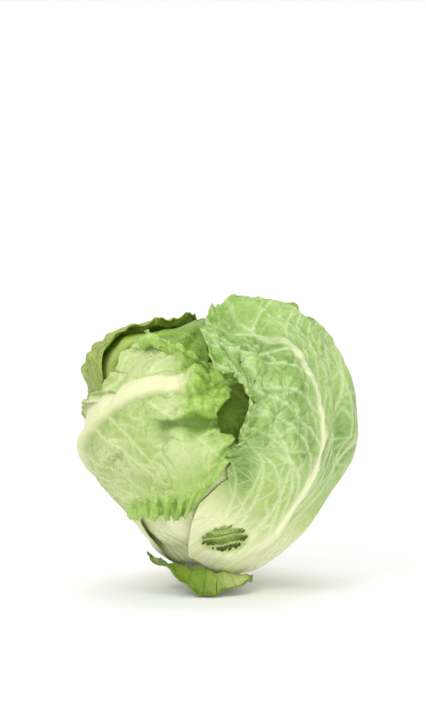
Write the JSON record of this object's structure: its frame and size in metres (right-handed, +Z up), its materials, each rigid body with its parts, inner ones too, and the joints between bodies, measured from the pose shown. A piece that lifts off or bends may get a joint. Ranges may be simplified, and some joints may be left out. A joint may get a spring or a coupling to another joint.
{
  "type": "head of lettuce",
  "caption": "Round crisphead lettuce cut from its root, with crinkled wrapper leaves over a packed heart, standing on its cut stem.",
  "frame": {"origin": "centre of the flat cut face of the stem, which the head rests on", "axes": "+Z up from the cut face through the middle of the head, -Y towards the viewer, +X to the viewer's right"},
  "size_m": [0.168, 0.1704, 0.1773],
  "materials": {
    "outer_leaf": "waxy leaf, satin",
    "inner_leaf": "waxy leaf, satin",
    "heart": "waxy leaf, satin",
    "stem": "freshly cut, damp"
  },
  "bodies": {
    "root": {"cut_stem": "stem", "heart": "heart", "head_leaf_1": "inner_leaf", "head_leaf_2": "inner_leaf", "head_leaf_3": "inner_leaf", "head_leaf_4": "inner_leaf", "head_leaf_5": "inner_leaf", "head_leaf_6": "inner_leaf", "head_leaf_7": "inner_leaf", "back_left_wrapper": "outer_leaf", "front_base_leaf": "outer_leaf", "far_right_wrapper": "outer_leaf", "back_right_wrapper": "outer_leaf", "left_wrapper": "outer_leaf", "right_wrapper": "outer_leaf", "fallen_base_leaf": "outer_leaf"}
  },
  "joints": []
}
